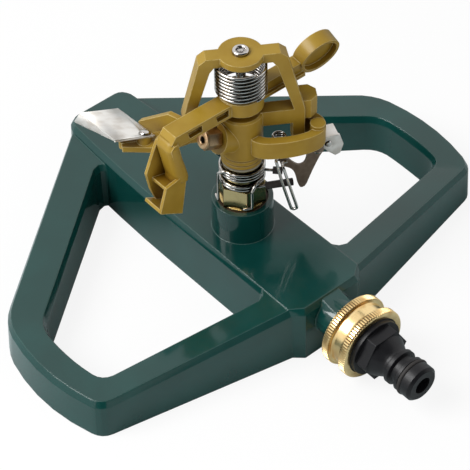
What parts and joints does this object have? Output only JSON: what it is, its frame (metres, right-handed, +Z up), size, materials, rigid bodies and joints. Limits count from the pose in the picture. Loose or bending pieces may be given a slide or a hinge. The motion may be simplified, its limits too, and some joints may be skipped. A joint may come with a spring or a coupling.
{
  "type": "impulse sprinkler",
  "caption": "Impulse sprinkler with a swinging hammer arm, trip stops and a jet deflector on a wide hollow cast base with a hose inlet.",
  "frame": {"origin": "centre of the object's bounding box on the floor that the base stands on", "axes": "+Z up along the riser, +X along the hose inlet away from the base, +Y across the base towards one wing; the middle plane of the base is Y = 0"},
  "size_m": [0.213, 0.2234, 0.1251],
  "materials": {
    "green_enamel": "gloss",
    "olive_enamel": "satin",
    "brass": "polished",
    "nozzle_brass": "satin",
    "spring_steel": "bright",
    "sheet_steel": "satin",
    "bronzed_steel": "dark bronzed",
    "black_plastic": "gloss",
    "dark_sleeve": "matte",
    "rubber": "matte",
    "red_fibre": "matte",
    "white_nylon": "matte"
  },
  "bodies": {
    "base": {"base_frame": "green_enamel", "bearing_nipple": "brass", "nipple_washer": "red_fibre", "swivel_ring": "brass"},
    "inlet": {"inlet_coupling": "brass", "coupling_washer": "rubber", "hose_connector": "black_plastic", "connector_o_ring": "rubber"},
    "upper_collar": {"collar_upper": "spring_steel", "stop_sleeve_upper": "dark_sleeve"},
    "lower_collar": {"collar_lower": "spring_steel", "stop_sleeve_lower": "dark_sleeve"},
    "head": {"head_body": "olive_enamel", "stem_tube": "brass", "stem_seal": "rubber", "thrust_washer": "white_nylon", "bearing_spring": "spring_steel", "main_nozzle": "nozzle_brass", "fulcrum_pin": "spring_steel", "arm_spring": "spring_steel", "arm_washer": "white_nylon", "deflector_pin": "spring_steel", "trip_pin": "spring_steel", "trip_clip_ring": "spring_steel", "trip_spring": "spring_steel"},
    "arm": {"hammer_arm": "olive_enamel", "arm_bush": "brass"},
    "deflector": {"deflector_plate": "sheet_steel"},
    "trip_lever": {"trip_plate": "bronzed_steel", "trip_shoe": "sheet_steel", "shoe_rivet": "spring_steel", "trip_hairpin": "spring_steel"}
  },
  "joints": [
    {"name": "head_spin", "type": "hinge", "parent": "base", "child": "head", "pos_m": [-0.0036, 0, 0.06], "axis": [0, 0, 1], "range_deg": [-300, 0]},
    {"name": "arm_swing", "type": "hinge", "parent": "head", "child": "arm", "pos_m": [-0.0036, 0, 0.0998], "axis": [0, 0, 1], "range_deg": [0, 75], "stiffness_Nm_per_rad": 0.02, "springref_deg": -17.19, "deforming": ["arm_spring"]},
    {"name": "upper_collar_turn", "type": "hinge", "parent": "base", "child": "upper_collar", "pos_m": [-0.0036, 0, 0.0622], "axis": [0, 0, 1], "range_deg": [0, 60]},
    {"name": "lower_collar_turn", "type": "hinge", "parent": "base", "child": "lower_collar", "pos_m": [-0.0036, 0, 0.0569], "axis": [0, 0, 1], "range_deg": [0, 160]},
    {"name": "coupling_swivel", "type": "hinge", "parent": "base", "child": "inlet", "pos_m": [0.07, 0, 0.017], "axis": [1, 0, 0], "continuous": true},
    {"name": "deflector_swing", "type": "hinge", "parent": "head", "child": "deflector", "pos_m": [-0.02476, -0.0337, 0.08577], "axis": [-0.2369, 0.3111, 0.9204], "range_deg": [0, 35]},
    {"name": "trip_toggle", "type": "hinge", "parent": "head", "child": "trip_lever", "pos_m": [0.01687, 0.02355, 0.0685], "axis": [0, 0, 1], "range_deg": [0, 16], "deforming": ["trip_spring"]}
  ]
}
